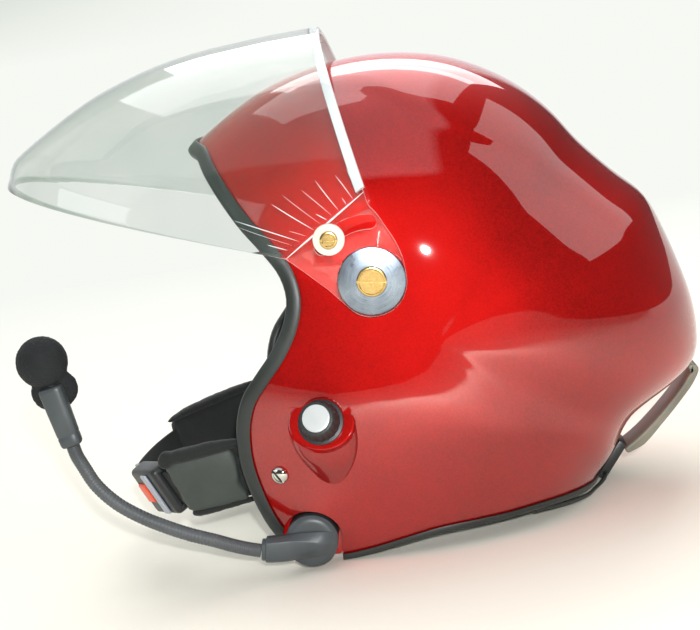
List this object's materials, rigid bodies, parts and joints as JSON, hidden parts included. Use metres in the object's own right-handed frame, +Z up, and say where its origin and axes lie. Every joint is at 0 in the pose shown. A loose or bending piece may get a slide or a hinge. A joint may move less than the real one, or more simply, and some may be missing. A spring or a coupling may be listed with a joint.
{
  "type": "paramotor helmet",
  "caption": "open-face flying helmet with a raised clear visor, padded ear cups, boom microphone, volume knob, padded chin strap with side buckle, and a goggle strap keeper at the back",
  "frame": {"origin": "centre of the bounding box's bottom, on the surface that the helmet rests on: it stands on the keeper ladder's foot and on the front of the base trim", "axes": "+X to the wearer's left (the side of the boom and the volume knob), +Y to the back of the head, +Z up"},
  "size_m": [0.2544, 0.3868, 0.2901],
  "materials": {
    "red_lacquer": "deep red metallic lacquer, high gloss",
    "edge_rubber": "satin black rubber",
    "black_plastic": "satin black moulding",
    "steel": "plain steel",
    "brass": "polished brass",
    "zinc": "zinc plated",
    "white_nylon": "white nylon",
    "clear_sheet": "clear polished sheet",
    "silver_plastic": "silver printed cap",
    "neck_rubber": "grey satin ribbed rubber",
    "black_foam": "open-cell foam",
    "bead_foam": "moulded dark bead foam",
    "lining_fabric": "brushed lining fabric over foam",
    "seal_leather": "soft leatherette",
    "speaker_plastic": "perforated black cover",
    "chrome": "polished chrome",
    "webbing": "ribbed black webbing",
    "red_plastic": "glossy red moulding",
    "grey_plate": "satin aluminium",
    "keeper_rubber": "grey satin rubber"
  },
  "bodies": {
    "helmet": {"outer_shell": "red_lacquer", "face_trim": "edge_rubber", "base_trim": "edge_rubber", "pivot_spacer_left": "black_plastic", "pivot_nut_left": "steel", "pivot_screw_left": "brass", "pivot_washer_left": "zinc", "pivot_spacer_right": "black_plastic", "pivot_nut_right": "steel", "pivot_screw_right": "brass", "pivot_washer_right": "zinc", "stop_spacer_left": "black_plastic", "stop_screw_left": "brass", "stop_washer_left": "white_nylon", "stop_spacer_right": "black_plastic", "stop_screw_right": "brass", "stop_washer_right": "white_nylon", "knob_collar": "black_plastic", "volume_pot": "black_plastic", "boom_base": "black_plastic", "boom_screw": "steel", "eps_liner": "bead_foam", "crown_pad": "lining_fabric", "headband_pad": "lining_fabric", "neck_roll": "lining_fabric", "ear_cup_left": "black_plastic", "ear_seal_left": "seal_leather", "ear_speaker_left": "speaker_plastic", "ear_cup_right": "black_plastic", "ear_seal_right": "seal_leather", "ear_speaker_right": "speaker_plastic", "strap_screw_left": "chrome", "strap_tnut_left": "steel", "strap_left": "webbing", "chin_pad_left": "lining_fabric", "cheek_pad_left": "lining_fabric", "strap_screw_right": "chrome", "strap_tnut_right": "steel", "strap_right": "webbing", "chin_pad_right": "lining_fabric", "cheek_pad_right": "lining_fabric", "buckle_housing": "black_plastic", "buckle_tongue": "steel", "buckle_plate": "grey_plate", "keeper_backing": "keeper_rubber", "keeper_screw": "steel", "keeper_ladder": "edge_rubber", "keeper_pin": "steel", "keeper_cord": "edge_rubber"},
    "visor": {"visor": "clear_sheet"},
    "knob": {"knob_skirt": "black_plastic", "knob_cap": "silver_plastic", "volume_shaft": "steel"},
    "boom": {"boom_arm": "black_plastic", "gooseneck": "neck_rubber", "mic_housing": "black_plastic", "mic_capsule": "black_plastic", "windscreen": "black_foam"},
    "button": {"release_button": "red_plastic"},
    "keeper": {"keeper_band": "keeper_rubber"}
  },
  "joints": [
    {"name": "visor_hinge", "type": "hinge", "parent": "helmet", "child": "visor", "pos_m": [-0.00461, 0.01339, 0.15684], "axis": [1, 0, 0], "range_deg": [-10, 43]},
    {"name": "volume_knob", "type": "hinge", "parent": "helmet", "child": "knob", "pos_m": [0.11269, -0.02545, 0.08506], "axis": [0.9017, -0.1023, 0.4201], "range_deg": [-135, 135]},
    {"name": "boom_hinge", "type": "hinge", "parent": "helmet", "child": "boom", "pos_m": [0.10539, -0.0418, 0.01779], "axis": [1, 0, 0], "range_deg": [-25, 15]},
    {"name": "button_slide", "type": "slide", "parent": "helmet", "child": "button", "axis": [-0.5471, 0.747, 0.3778], "range_m": [0, 0.0025], "stiffness_N_per_m": 500, "springref_m": -0.002},
    {"name": "keeper_hinge", "type": "hinge", "parent": "helmet", "child": "keeper", "pos_m": [-0.00461, 0.18775, 0.06083], "axis": [1, 0, 0], "range_deg": [0, 70]}
  ]
}
